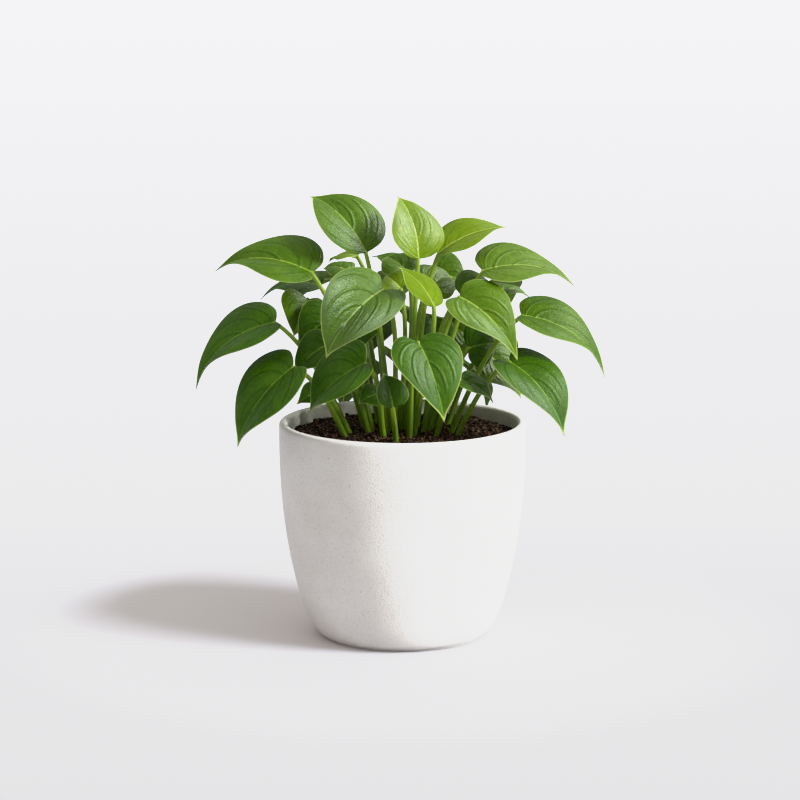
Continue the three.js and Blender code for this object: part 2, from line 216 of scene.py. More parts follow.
CRUMB_HEIGHTS = (0.6, 0.95)
STRAWS = 26
STRAW_RADII = (0.35, 0.6)
STRAW_STRETCH = (2.0, 4.5)

# The tones of the leaves that aren't dark. A tone gives a leaf its colours and its roughness.
TONES = {
    "young": ("crown_middle", "crown_right", "crown_front", "back_left_pale", "inner_crown"),
    # The pale tone is a lighter, greyer green: a painted sheen.
    "pale": ("upper_right",),
    # behind_left, under_right and inner_crown_right have the bright tone as painted light: it lifts
    # them where they lie in shade.
    "bright": ("front_right", "inner_bright", "behind_left", "under_right", "inner_crown_right"),
    "middle": ("crown_left", "upper_left", "front_left", "middle_right", "back_left",
               "back_crown_small", "back_crown_right", "inner_right", "behind_right",
               "back_upper_1", "back_upper_2", "back_upper_3"),
}

# ---------- small helpers ----------


def rad(degrees):
    return math.radians(degrees)


def unit(vector):
    return vector / np.linalg.norm(vector)


def smooth(value, low, high):
    """0 below low, 1 above high, and an even ease between them."""
    share = np.clip((value - low) / (high - low), 0, 1)
    return share * share * (3 - 2 * share)


def spline(points, places):
    """Points on an even Catmull-Rom curve at places from 0 to 1."""
    points = np.array(points, float)
    last = len(points) - 1
    position = np.clip(places, 0, 1) * last
    index = np.minimum(position.astype(int), last - 1)
    t = (position - index)[:, None]
    before = points[np.maximum(index - 1, 0)]
    here = points[index]
    there = points[index + 1]
    after = points[np.minimum(index + 2, last)]
    leave = (there - before) / 2
    arrive = (after - here) / 2
    cubic = (2 * here - 2 * there + leave + arrive) * t ** 3
    square = (3 * there - 3 * here - 2 * leave - arrive) * t ** 2
    return cubic + square + leave * t + here


def make_mesh(name, points, faces):
    mesh = bpy.data.meshes.new(name)
    mesh.from_pydata((np.asarray(points) * MM).tolist(), [], faces)
    mesh.update()
    return mesh


def link(thing):
    bpy.context.scene.collection.objects.link(thing)
    return thing


def add_piece(name, mesh, slot, *nodes):
    piece = link(bpy.data.objects.new(name, mesh))
    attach(piece, "root")
    if nodes:
        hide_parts(*nodes)
    return piece


def add_number(mesh, name, values):
    """One number for each vertex, for the materials to read."""
    attribute = mesh.attributes.new(name, "FLOAT", "POINT")
    attribute.data.foreach_set("value", np.asarray(values, np.float32))


def ring_faces(rings, sides):
    """Quads between rings of equal size, each ring closed on itself."""
    faces = []
    for ring in range(rings - 1):
        here = ring * sides
        there = here + sides
        for i in range(sides):
            after = (i + 1) % sides
            faces.append((here + i, here + after, there + after, there + i))
    return faces


def fan_faces(pole, ring, sides, outward):
    """Triangles from a pole to a ring."""
    faces = []
    for i in range(sides):
        after = (i + 1) % sides
        if outward:
            faces.append((pole, ring + i, ring + after))
        else:
            faces.append((pole, ring + after, ring + i))
    return faces


# ---------- materials ----------

RANGE_SOCKETS = ("From Min", "From Max", "To Min", "To Max")


class Look:
    """A material with one Principled shader, and short calls for the nodes that drive it."""

    def __init__(self, name):
        self.material = bpy.data.materials.new(name)
        self.material.use_nodes = True
        self.tree = self.material.node_tree
        self.shader = self.tree.nodes["Principled BSDF"]

    def set(self, socket, value):
        self.join(self.shader.inputs[socket], value)

    def join(self, socket, value):
        if isinstance(value, bpy.types.NodeSocket):
            self.tree.links.new(value, socket)
        else:
            socket.default_value = value

    def add(self, kind, inputs, output=0, **settings):
        node = self.tree.nodes.new("ShaderNode" + kind)
        for name, value in settings.items():
            setattr(node, name, value)
        for socket, value in inputs.items():
            self.join(node.inputs[socket], value)
        return node.outputs[output]

    def attribute(self, name):
        return self.add("Attribute", {}, "Fac", attribute_name=name)

    def math(self, operation, first, second=0.0):
        return self.add("Math", {0: first, 1: second}, operation=operation)

    def position(self):
        """The place on the object, in metres."""
        return self.add("TexCoord", {}, "Object")

    def noise(self, scale, detail=2.0, roughness=0.5):
        where = self.position()
        inputs = {"Vector": where, "Scale": scale, "Detail": detail, "Roughness": roughness}
        return self.add("TexNoise", inputs, "Fac")

    def cells(self, scale, output="Distance"):
        return self.add("TexVoronoi", {"Vector": self.position(), "Scale": scale}, output)

    def ease(self, value, low, high, start=0.0, end=1.0):
        inputs = {"Value": value, **dict(zip(RANGE_SOCKETS, (low, high, start, end)))}
        return self.add("MapRange", inputs, interpolation_type="SMOOTHSTEP")

    def blend(self, share, first, second):
        inputs = {0: share, 6: first, 7: second}
        return self.add("Mix", inputs, 2, data_type="RGBA")

    def bump(self, height, distance, strength=1.0, below=None):
        inputs = {"Height": height, "Distance": distance, "Strength": strength}
        if below is not None:
            inputs["Normal"] = below
        return self.add("Bump", inputs)


def linear(value):
    """The light behind a display value from 0 to 255."""
    share = value / 255
    if share <= 0.04045:
        return share / 12.92
    return ((share + 0.055) / 1.055) ** 2.4


def colour(red, green, blue):
    """A colour from display values from 0 to 255."""
    return (linear(red), linear(green), linear(blue), 1.0)


# Display colours for each tone: upper side (deep, light), veins, underside (deep, light).
LEAF_COLOURS = {
    # The dark tone's underside is about as dark as its upper side: painted shade inside the plant.
    "dark": ((46, 82, 0), (66, 104, 4), (108, 142, 40), (52, 76, 16), (74, 98, 30)),
    "middle": ((60, 94, 0), (80, 114, 8), (130, 158, 56), (78, 104, 26), (100, 126, 44)),
    "bright": ((70, 102, 0), (90, 122, 6), (140, 164, 62), (86, 112, 24), (108, 132, 44)),
    "young": ((88, 117, 0), (112, 139, 6), (160, 180, 80), (98, 124, 20), (120, 144, 40)),
    # A painted sheen: lighter and greyer than the leaf's own green.
    "pale": ((80, 110, 18), (100, 130, 34), (146, 170, 78), (92, 118, 34), (114, 138, 54)),
}
LEAF_ROUGHNESS = {"dark": 0.40, "middle": 0.38, "bright": 0.36, "young": 0.34, "pale": 0.42}
LEAF_SPECULAR = 0.15
LEAF_SUBSURFACE = 0.08
LEAF_SUBSURFACE_REACH = 1.2
LEAF_PATCHES = 60.0           # soft patches of the lighter green: how many in a metre
LEAF_MOTTLES = 420.0
UNDERSIDE_SPECULAR = 0.05
UNDERSIDE_ROUGHNESS = (0.5, 0.62)
EDGE_DULLNESS = 0.22          # how much rougher a blade is at its tip and edge
DULL_TIP = (0.4, 0.85)        # shares of the length where that begins and is full
DULL_EDGE = (5.0, 0.5)        # distances from the edge where that begins and is full
GLOSS_RANGE = (-0.06, 0.08)   # how far a blade's roughness strays from its tone's

# Lines on a blade: how far they reach from a side vein's middle and how strong they are. On the
# upper side, the first is a painted highlight: a lighter band along each side vein. The second is
# painted shade: a dark line in the vein's furrow. The third is the underside veins' own colour.
VEIN_PAINTED_HIGHLIGHT = (2.0, 0.2)
VEIN_FURROW_PAINTED_SHADE = (0.7, 0.8)
VEIN_LINE_UNDER = (0.5, 0.5)
# Veins fade in at these distances from the edge, and where they lie this far apart.
VEINS_OFF_EDGE = (0.3, 4.0)
VEINS_APART = (1.5, 4.0)
# The bumps fade in at these distances from the edge, and at these shares of the length.
BUMPS_OFF_EDGE = (0.4, 3.5)
BUMPS_OFF_TIP = (0.93, 0.78)
# Half width of the midrib's colour at the stalk and at the tip.
RIB_SHOWN = (0.6, 0.2)
RIB_SHOWN_UNDER = (1.1, 0.3)
MARGIN_SHOWN = (0.36, 0.1)    # distances from the edge where the margin's colour begins and is full
MARGIN_COLOUR = colour(156, 178, 88)
TIP_SHOWN = (0.955, 0.99)     # shares of the length where the tip's brown begins and is full
TIP_BROWN = colour(150, 120, 70)

# Stalks are darker at the soil than at the blade: painted shade under the leaves.
STALK_LOW = colour(104, 136, 26)
STALK_HIGH = colour(134, 162, 48)
STALK_STREAKS = colour(92, 124, 36)
STALK_SUBSURFACE = 0.1
STALK_SUBSURFACE_REACH = 1.5
STALK_ROUGHNESS = (0.36, 0.48)
STALK_GRAIN_DEPTH = 0.08

POT_DEEP = colour(213, 209, 203)
POT_LIGHT = colour(225, 222, 217)
POT_GRAIN = colour(170, 164, 156)
POT_SPECK = colour(92, 84, 74)
# Specks in the pot: cells in a metre, their size as a share of a cell, how rare and how dark.
POT_SPECKS = ((560.0, 0.22, 0.88, 0.5), (1100.0, 0.3, 0.8, 0.4))
POT_ROUGHNESS = (0.72, 0.86)
POT_PORES_SCALE = 1200.0
POT_PORES_DEPTH = 0.3
POT_DENTS_SCALE = 150.0
POT_DENTS_DEPTH = 0.4

SOIL_DEEP = colour(8, 5, 3)
SOIL_LIGHT = colour(54, 37, 25)
SOIL_FLECKS = colour(138, 106, 78)
SOIL_SPECULAR = 0.15
SOIL_ROUGHNESS = (0.8, 0.98)
SOIL_GRAIN_DEPTH = 0.5
STRAW_DEEP = colour(128, 104, 72)
STRAW_LIGHT = colour(190, 172, 132)
STRAW_ROUGHNESS = (0.7, 0.9)


def vein_distance(look):
    """How far the nearest side vein is, in millimetres."""
    phase = look.attribute("vein")
    off = look.math("SUBTRACT", look.math("FRACT", look.math("ADD", phase, 0.5)), 0.5)
    return look.math("MULTIPLY", look.math("ABSOLUTE", off), look.attribute("gap"))


def vein_share(look, width, strength):
    """How much of a side vein shows at a point: all on the vein, nothing away from it."""
    line = look.ease(vein_distance(look), width, 0.0)
    room = look.math("MULTIPLY", look.ease(look.attribute("edge"), *VEINS_OFF_EDGE),
                     look.ease(look.attribute("gap"), *VEINS_APART))
    return look.math("MULTIPLY", look.math("MULTIPLY", line, room), strength)


def rib_share(look, base_width, tip_width):
    """1 on the midrib, which narrows towards the tip."""
    width = look.ease(look.attribute("along"), 0.0, 1.0, base_width, tip_width)
    share = look.math("DIVIDE", look.attribute("rib"), width)
    return look.ease(share, 1.0, 0.45)


def leaf_base(look, deep, light):
    """Two greens in soft patches and small mottles."""
    patches = look.ease(look.noise(LEAF_PATCHES, 2.0), 0.3, 0.7, 0.0, 0.6)
    mottles = look.ease(look.noise(LEAF_MOTTLES, 3.0, 0.6), 0.35, 0.7, 0.0, 0.4)
    return look.blend(look.math("ADD", patches, mottles), deep, light)


def leaf_bump(look, depth):
    """The side veins lie in furrows, and the blade between them is quilted and grained."""
    room = look.math("MULTIPLY", look.ease(look.attribute("edge"), *BUMPS_OFF_EDGE, 0.0, depth),
                     look.ease(look.attribute("along"), *BUMPS_OFF_TIP))
    sunk = look.math("SUBTRACT", 1.0, vein_share(look, FURROW_WIDTH, 1.0))
    normal = look.bump(sunk, FURROW_DEPTH * MM, room)
    normal = look.bump(look.noise(QUILT_SCALE, 1.5), QUILT_DEPTH * MM, room, normal)
    return look.bump(look.noise(GRAIN_SCALE, 2.0), GRAIN_DEPTH * MM, room, normal)


def tone_colours(tone):
    return [colour(*values) for values in LEAF_COLOURS[tone]]


def blade_look(name, specular):
    """What both sides of a blade share."""
    look = Look(name)
    look.set("Subsurface Weight", LEAF_SUBSURFACE)
    look.set("Subsurface Scale", LEAF_SUBSURFACE_REACH * MM)
    look.set("Specular IOR Level", specular)
    return look


def with_tip(look, shade):
    """The tip of a blade is dry and brown."""
    return look.blend(look.ease(look.attribute("along"), *TIP_SHOWN), shade, TIP_BROWN)


def upper_material(tone):
    deep, light, vein, _, _ = tone_colours(tone)
    look = blade_look("leaf_upper_" + tone, LEAF_SPECULAR)
    shade = leaf_base(look, deep, light)
    # Painted highlight along the side veins, then painted shade in their furrows.
    shade = look.blend(vein_share(look, *VEIN_PAINTED_HIGHLIGHT), shade, light)
    shade = look.blend(vein_share(look, *VEIN_FURROW_PAINTED_SHADE), shade, deep)
    shade = look.blend(rib_share(look, *RIB_SHOWN), shade, vein)
    margin = look.ease(look.attribute("edge"), *MARGIN_SHOWN)
    shade = look.blend(margin, shade, MARGIN_COLOUR)
    look.set("Base Color", with_tip(look, shade))
    smoothest, roughest = (LEAF_ROUGHNESS[tone] + change for change in GLOSS_RANGE)
    gloss = look.ease(look.noise(500.0, 3.0), 0.2, 0.8, smoothest, roughest)
    to_tip = look.ease(look.attribute("along"), *DULL_TIP, 0.0, EDGE_DULLNESS)
    to_edge = look.ease(look.attribute("edge"), *DULL_EDGE, 0.0, EDGE_DULLNESS)
    look.set("Roughness", look.math("ADD", gloss, look.math("MAXIMUM", to_tip, to_edge)))
    look.set("Normal", leaf_bump(look, YOUNG_RELIEF if tone == "young" else 1.0))
    return look.material


def under_material(tone):
    _, _, vein, deep, light = tone_colours(tone)
    look = blade_look("leaf_under_" + tone, UNDERSIDE_SPECULAR)
    shade = leaf_base(look, deep, light)
    shade = look.blend(vein_share(look, *VEIN_LINE_UNDER), shade, vein)
    shade = look.blend(rib_share(look, *RIB_SHOWN_UNDER), shade, vein)
    look.set("Base Color", with_tip(look, shade))
    look.set("Roughness", look.ease(look.noise(420.0, 3.0), 0.2, 0.8, *UNDERSIDE_ROUGHNESS))
    look.set("Normal", look.bump(look.noise(GRAIN_SCALE, 2.0), GRAIN_DEPTH * MM, 0.5))
    return look.material


def stalk_material():
    look = Look("leaf_stalk")
    look.set("Subsurface Weight", STALK_SUBSURFACE)
    look.set("Subsurface Scale", STALK_SUBSURFACE_REACH * MM)
    look.set("Specular IOR Level", LEAF_SPECULAR)
    # Darker towards the soil: painted shade under the leaves.
    height = look.ease(look.attribute("along"), -1.0, 0.0)
    shade = look.blend(height, STALK_LOW, STALK_HIGH)
    streaks = look.ease(look.noise(260.0, 4.0), 0.3, 0.75, 0.0, 0.35)
    shade = look.blend(streaks, shade, STALK_STREAKS)
    look.set("Base Color", shade)
    look.set("Roughness", look.ease(look.noise(500.0), 0.3, 0.7, *STALK_ROUGHNESS))
    look.set("Normal", look.bump(look.noise(900.0, 3.0), STALK_GRAIN_DEPTH * MM, 0.5))
    return look.material


def pot_material():
    """Matt, fine-grained and almost white, with small dark specks of several sizes."""
    look = Look("pot_ceramic")
    cloud = look.ease(look.noise(28.0, 4.0), 0.3, 0.75)
    shade = look.blend(cloud, POT_DEEP, POT_LIGHT)
    grain = look.ease(look.noise(1100.0, 3.0, 0.6), 0.52, 0.75, 0.0, 0.5)
    shade = look.blend(grain, shade, POT_GRAIN)
    for scale, size, rarity, darkness in POT_SPECKS:
        pick = look.add("SeparateColor", {0: look.cells(scale, "Color")}, "Red")
        chosen = look.ease(pick, rarity, rarity + 0.03)
        spot = look.ease(look.cells(scale), size, size * 0.5)
        speck = look.math("MULTIPLY", look.math("MULTIPLY", spot, chosen), darkness)
        shade = look.blend(speck, shade, POT_SPECK)
    look.set("Base Color", shade)
    look.set("Roughness", look.ease(look.noise(700.0, 3.0), 0.3, 0.7, *POT_ROUGHNESS))
    pores = look.bump(look.noise(POT_PORES_SCALE, 4.0, 0.6), POT_PORES_DEPTH * MM, 0.85)
    dents = look.noise(POT_DENTS_SCALE, 3.0)
    look.set("Normal", look.bump(dents, POT_DENTS_DEPTH * MM, 0.25, pores))
    return look.material


def soil_material():
    look = Look("soil_compost")
    look.set("Specular IOR Level", SOIL_SPECULAR)
    clods = look.ease(look.noise(310.0, 4.0, 0.6), 0.32, 0.72)
    shade = look.blend(clods, SOIL_DEEP, SOIL_LIGHT)
    flecks = look.ease(look.noise(900.0, 2.0), 0.55, 0.63, 0.0, 0.9)
    shade = look.blend(flecks, shade, SOIL_FLECKS)
    look.set("Base Color", shade)
    look.set("Roughness", look.ease(look.noise(600.0), 0.3, 0.7, *SOIL_ROUGHNESS))
    look.set("Normal", look.bump(look.noise(1400.0, 4.0, 0.7), SOIL_GRAIN_DEPTH * MM, 0.9))
    return look.material


def straw_material():
    look = Look("soil_straw")
    look.set("Base Color", look.blend(look.noise(500.0, 3.0), STRAW_DEEP, STRAW_LIGHT))
    look.set("Roughness", look.ease(look.noise(600.0), 0.3, 0.7, *STRAW_ROUGHNESS))
    return look.material


# ---------- pot ----------


def wall_radius(z):
    flare = 1 - (1 - z / POT_HEIGHT) ** POT_FLARE_POWER
    return POT_BASE_RADIUS + (POT_RIM_RADIUS - POT_BASE_RADIUS) * flare


def corner_profile():
    """The rounded corner from the foot to the wall, as a quadratic curve."""
    foot = np.array([POT_FOOT_RADIUS, POT_FOOT_HEIGHT])
    bend = np.array([POT_BASE_RADIUS, POT_FOOT_HEIGHT])
    wall = np.array([wall_radius(POT_CORNER_HEIGHT), POT_CORNER_HEIGHT])
    steps = np.linspace(0, 1, POT_CORNER_STEPS)
    return [(1 - t) ** 2 * foot + 2 * t * (1 - t) * bend + t * t * wall for t in steps]


def pot_profile():
    lip = POT_WALL / 2
    lip_height = POT_HEIGHT - lip
    lip_middle = wall_radius(lip_height) - lip
    wall = np.linspace(POT_CORNER_HEIGHT, lip_height, POT_WALL_STEPS)
    profile = [(POT_FOOT_RADIUS + out, z) for out, z in POT_FOOT_EDGE]
    profile += corner_profile()
    profile += [(wall_radius(z), z) for z in wall[1:-1]]
    for angle in np.linspace(0, math.pi, POT_LIP_STEPS):
        profile.append((lip_middle + lip * math.cos(angle), lip_height + lip * math.sin(angle)))
    profile += [(wall_radius(z) - POT_WALL, z) for z in wall[-2::-1]]
    profile += [(POT_FOOT_RADIUS + out, POT_FLOOR + z) for out, z in POT_FLOOR_EDGE]
    return profile


def turned(profile, segments):
    """Points and faces of a closed solid turned from a profile that starts and ends at the axis."""
    angles = np.linspace(0, 2 * math.pi, segments, endpoint=False)
    points = [(radius * math.cos(a), radius * math.sin(a), z)
              for radius, z in profile for a in angles]
    faces = ring_faces(len(profile), segments)
    low = len(points)
    points += [(0, 0, profile[0][1]), (0, 0, profile[-1][1])]
    faces += fan_faces(low, 0, segments, False)
    faces += fan_faces(low + 1, low - segments, segments, True)
    return points, faces


def add_pot():
    points, faces = turned(pot_profile(), POT_SEGMENTS)
    mesh = make_mesh("pot_turned", points, faces)
    mesh.shade_smooth()
    mesh.set_sharp_from_angle(angle=rad(POT_SHARP_FROM))
    mesh.materials.append(pot_material())
    return add_piece("pot_turned", mesh, "pot", "pot")


# ---------- soil ----------


def soil_radius(z):
    return wall_radius(z) - POT_WALL - SOIL_GAP


def soil_height(x, y):
    edge = soil_radius(SOIL_EDGE_HEIGHT)
    dome = SOIL_EDGE_HEIGHT + SOIL_DOME * (1 - (math.hypot(x, y) / edge) ** 2)
    place = Vector((x, y, 0))
    clods = sum(noise.noise(place / size) * share for size, share in CLOD_SIZES)
    grains = abs(noise.noise(place / GRAIN_SIZE)) * GRAIN_HEIGHT
    return dome + SOIL_CLODS * clods + grains - SOIL_SETTLED


def soil_bed():
    """Points and faces of the soil: the pot's inside, closed by a rough surface."""
    edge = soil_radius(SOIL_EDGE_HEIGHT)
    profile = [(SOIL_BASE_RADIUS, POT_FLOOR + SOIL_FLOOR_GAP)]
    profile += [(soil_radius(z), z) for z in SOIL_WALL_HEIGHTS]
    rings = int(edge / SOIL_RING_STEP)
    profile += [(radius, SOIL_EDGE_HEIGHT) for radius in np.linspace(edge, SOIL_INNER_RING, rings)]
    points, faces = turned(profile, SOIL_SEGMENTS)
    surface = [i for i, point in enumerate(points) if point[2] == SOIL_EDGE_HEIGHT]
    for i in surface:
        x, y, _ = points[i]
        points[i] = (x, y, soil_height(x, y))
    return points, faces


def crumb_shapes():
    """Two balls, a coarse one and a fine one, as points and faces."""
    shapes = []
    for subdivisions in (1, 2):
        mesh = bpy.data.meshes.new("crumb")
        ball = bmesh.new()
        bmesh.ops.create_icosphere(ball, subdivisions=subdivisions, radius=1)
        ball.to_mesh(mesh)
        ball.free()
        points = np.array([v.co for v in mesh.vertices])
        faces = np.array([tuple(p.vertices) for p in mesh.polygons])
        bpy.data.meshes.remove(mesh)
        shapes.append((points, faces))
    return shapes


def crumb(rng, shape, radius, stretch):
    """One crumb's points: the ball dented by chance, stretched and turned."""
    dents = [[1 + rng.uniform(-CRUMB_DENTS, CRUMB_DENTS)] for _ in shape]
    points = shape * np.array(dents)
    ranges = (CRUMB_WIDTHS, CRUMB_WIDTHS, CRUMB_HEIGHTS)
    points = points * np.array([rng.uniform(*limits) for limits in ranges])
    points[:, 0] *= stretch
    turn = Matrix.Rotation(rng.uniform(0, 2 * math.pi), 3, "Z")
    tilt = Matrix.Rotation(rng.uniform(-CRUMB_TILT, CRUMB_TILT), 3, "X")
    return radius * points @ np.array(turn @ tilt).T


def scatter(rng, count, straw, points, faces):
    """Adds crumbs, or straws, that lie in the soil's surface at chance places."""
    coarse, fine = crumb_shapes()
    edge = soil_radius(SOIL_EDGE_HEIGHT)
    for _ in range(count):
        radius = CRUMB_SMALL + (CRUMB_LARGE - CRUMB_SMALL) * rng.random() ** CRUMB_RARITY
        stretch = 1.0
        if straw:
            radius = rng.uniform(*STRAW_RADII)
            stretch = rng.uniform(*STRAW_STRETCH)
        reach = (edge - radius * stretch - CRUMB_EDGE_GAP) * math.sqrt(rng.random())
        angle = rng.uniform(0, 2 * math.pi)
        x = reach * math.cos(angle)
        y = reach * math.sin(angle)
        z = soil_height(x, y) + rng.uniform(*CRUMB_RISE) * radius
        shape, shape_faces = fine if radius > CRUMB_ROUND else coarse
        first = len(points)
        points += [tuple(p) for p in crumb(rng, shape, radius, stretch) + np.array([x, y, z])]
        faces += [tuple(int(i) + first for i in face) for face in shape_faces]


def add_soil():
    rng = random.Random(SOIL_SEED)
    points, faces = soil_bed()
    scatter(rng, CRUMBS, False, points, faces)
    straw_from = len(faces)
    scatter(rng, STRAWS, True, points, faces)
    mesh = make_mesh("soil_compost", points, faces)
    mesh.materials.append(soil_material())
    mesh.materials.append(straw_material())
    kinds = np.zeros(len(faces), np.int32)
    kinds[straw_from:] = 1
    mesh.polygons.foreach_set("material_index", kinds)
    mesh.shade_smooth()
    mesh.set_sharp_from_angle(angle=rad(SOIL_SHARP_FROM))
    return add_piece("soil_compost", mesh, "soil", "soil")


# ---------- leaves ----------


class Blade:
    """A leaf blade bent along its midrib and folded along it."""

    def __init__(self, joint, tip, roll, width, bend, fold, outline):
        self.joint = np.array(joint, float)
        chord = np.array(tip, float) - self.joint
        self.length = np.linalg.norm(chord)
        self.forward = chord / self.length
        level = unit(UP - self.forward * self.forward[2])
        across = np.cross(self.forward, level)
        self.facing = level * math.cos(rad(roll)) + across * math.sin(rad(roll))
        self.side = np.cross(self.facing, self.forward)
        self.half_width = width / 2
        self.bend = rad(bend)
        self.bend_radius = self.length / (2 * math.sin(self.bend / 2))
        self.fold_slope = math.tan(rad(fold))
        self.outline = outline

    def start(self):
        """The direction in which the midrib leaves the stalk."""
        return self.forward * math.cos(self.bend / 2) + self.facing * math.sin(self.bend / 2)

    def flat(self, u, v):
        """Places on the flat blade: u runs from stalk to tip (0 to 1), v across (-1 to 1)."""
        margin = spline(self.outline, u)
        out = np.abs(v) ** VEIN_SWEEP
        along = u ** VEIN_SPACING * (1 - out) + margin[:, 0] * out
        return along, margin[:, 1] * v

    def place(self, along, across, lift):
        """The bent and folded blade's points, raised by lift along its normal."""
        turn = self.bend * (0.5 - along)
        reach = self.bend_radius * (math.sin(self.bend / 2) - np.sin(turn))
        rise = self.bend_radius * (np.cos(turn) - math.cos(self.bend / 2))
        normal = self.facing * np.cos(turn)[:, None] - self.forward * np.sin(turn)[:, None]
        fold = np.sqrt(across ** 2 + FOLD_SOFTNESS ** 2) - FOLD_SOFTNESS
        cup = self.half_width * (self.fold_slope * fold - BLADE_ARCH * across ** 2) + lift
        return (self.joint + self.forward * reach[:, None] + self.facing * rise[:, None]
                + self.side * (self.half_width * across)[:, None] + normal * cup[:, None])


def vein_phase(u, v):
    """A whole number on each side vein. Veins leave the midrib and curve forward to the margin."""
    return (u - VEIN_LEAN * np.abs(v) ** VEIN_CURVE) * VEINS


def vein_gap(blade, u, v):
    """How far apart the side veins lie at each point of the flat blade, in millimetres."""
    step = 1e-3
    scale = np.array([blade.length, blade.half_width])
    along_u = np.stack(blade.flat(u + step, v), 1) - np.stack(blade.flat(u - step, v), 1)
    along_v = np.stack(blade.flat(u, v + step), 1) - np.stack(blade.flat(u, v - step), 1)
    along_u = along_u * scale / (2 * step)
    along_v = along_v * scale / (2 * step)
    phase_u = (vein_phase(u + step, v) - vein_phase(u - step, v)) / (2 * step)
    phase_v = (vein_phase(u, v + step) - vein_phase(u, v - step)) / (2 * step)
    area = along_u[:, 0] * along_v[:, 1] - along_u[:, 1] * along_v[:, 0]
    slope_x = phase_u * along_v[:, 1] - phase_v * along_u[:, 1]
    slope_y = phase_v * along_u[:, 0] - phase_u * along_v[:, 0]
    steepness = np.maximum(np.hypot(slope_x, slope_y), 1e-6)
    return np.clip(np.abs(area) / steepness, *VEIN_GAP_RANGE)


def relief(u, v, seed):
    """How far the blade swells between its side veins and waves at its margins."""
    side = np.abs(v)
    hump = np.abs(np.sin(math.pi * vein_phase(u, v))) ** PILLOW_FULLNESS
    body = np.clip(np.sin(math.pi * side ** PILLOW_MIDDLE), 0, 1) ** PILLOW_FULLNESS
    ends = smooth(u, *RELIEF_START) * (1 - smooth(u, *RELIEF_END))
    phase = seed * WAVE_STRAY[0] + np.sign(v) * WAVE_STRAY[1]
    wave = np.sin(2 * math.pi * WAVES * u + phase) * side ** 3 * ends
    return PILLOW * hump * body * ends + WAVE * wave


def blade_mesh_data(blade, seed):
    """Points, faces, kinds (0 upper, 1 under) and the numbers that the materials read."""
    s = np.linspace(-1, 1, BLADE_COLUMNS)
    columns = np.sign(s) * np.abs(s) ** COLUMN_CROWDING
    rows = np.linspace(0, 1, BLADE_ROWS)[1:-1]
    ring_v = np.concatenate([columns, columns[::-1]])
    ring_side = np.concatenate([np.ones(BLADE_COLUMNS), -np.ones(BLADE_COLUMNS)])
    u = np.repeat(rows, len(ring_v))
    v = np.tile(ring_v, len(rows))
    top = np.tile(ring_side, len(rows))
    along, across = blade.flat(u, v)
    taper = smooth(u, *THICK_FROM) * (1 - smooth(u, *THIN_FROM))
    body = (1 - np.abs(v) ** MARGIN_SHARPNESS) * taper
    thickness = MARGIN_THICKNESS + (BLADE_THICKNESS - MARGIN_THICKNESS) * body
    points = blade.place(along, across, top * thickness / 2 + relief(u, v, seed))
    ends = blade.place(np.array([0.0, 1.0]), np.zeros(2), np.zeros(2))
    points = np.concatenate([points, ends])

    sides = len(ring_v)
    stalk_pole = len(points) - 2
    tip_pole = len(points) - 1
    faces = ring_faces(len(rows), sides)
    faces += fan_faces(stalk_pole, 0, sides, False)
    faces += fan_faces(tip_pole, stalk_pole - sides, sides, True)
    kinds = [0 if (i % sides) < BLADE_COLUMNS - 1 or i % sides == sides - 1 else 1
             for i in range(len(faces))]

    margin = spline(blade.outline, u)[:, 1]
    half = blade.half_width
    numbers = {
        "vein": np.append(vein_phase(u, v), [0, VEINS]),
        "gap": np.append(vein_gap(blade, u, v), [VEIN_GAP_RANGE[0]] * 2),
        "rib": np.append(np.abs(across) * half, [0, 0]),
        "edge": np.append((margin - np.abs(across)) * half, [0, 0]),
        "along": np.append(np.clip(along, 0, 1), [0, 1]),
    }
    return points, faces, kinds, numbers


def stalk_route(blade):
    """The stalk's middle line from the soil to the blade, and on under it as its midrib."""
    joint = blade.joint
    spread = STALK_FAN_DEPTH / (STALK_FAN_DEPTH + joint[2] - STALK_ROOT_HEIGHT)
    root = np.array([joint[0] * spread, joint[1] * spread, STALK_ROOT_HEIGHT])
    chord = joint - root
    length = np.linalg.norm(chord)
    chord = chord / length
    start = unit(chord * STALK_START + UP * (1 - STALK_START))
    end = unit(chord * STALK_END + blade.start() * (1 - STALK_END))
    first = root + start * STALK_START_PULL * length
    second = joint - end * STALK_END_PULL * length
    t = np.linspace(0, 1, STALK_STEPS)[:, None]
    curve = ((1 - t) ** 3 * root + 3 * t * (1 - t) ** 2 * first
             + 3 * t * t * (1 - t) * second + t ** 3 * joint)
    share = np.linspace(*RIB_SPAN, RIB_STEPS)
    radii = RIB_TIP_RADIUS + (RIB_RADIUS - RIB_TIP_RADIUS) * (1 - share) ** RIB_TAPER
    rib = blade.place(share, np.zeros(RIB_STEPS), -RIB_DROP * radii)
    buried = root - start * (STALK_BURIED - 1)
    points = np.concatenate([[buried], curve, rib])
    tube_radii = np.concatenate([
        [STALK_RADIUS],
        np.linspace(STALK_RADIUS, STALK_TIP_RADIUS, STALK_STEPS),
        radii,
    ])
    along = np.concatenate([[-1.0], np.linspace(-1, 0, STALK_STEPS), share])
    return points, tube_radii, along


def tube(points, radii, sides):
    """Points and faces of a closed round tube."""
    rings = []
    side = np.array([1.0, 0.0, 0.0])
    angles = np.linspace(0, 2 * math.pi, sides, endpoint=False)
    for i, point in enumerate(points):
        along = unit(points[min(i + 1, len(points) - 1)] - points[max(i - 1, 0)])
        side = unit(side - along * side.dot(along))
        other = np.cross(along, side)
        for angle in angles:
            rings.append(point + radii[i] * (side * math.cos(angle) + other * math.sin(angle)))
    faces = ring_faces(len(points), sides)
    low = len(rings)
    rings += [points[0], points[-1]]
    faces += fan_faces(low, 0, sides, False)
    faces += fan_faces(low + 1, low - sides, sides, True)
    return np.array(rings), faces


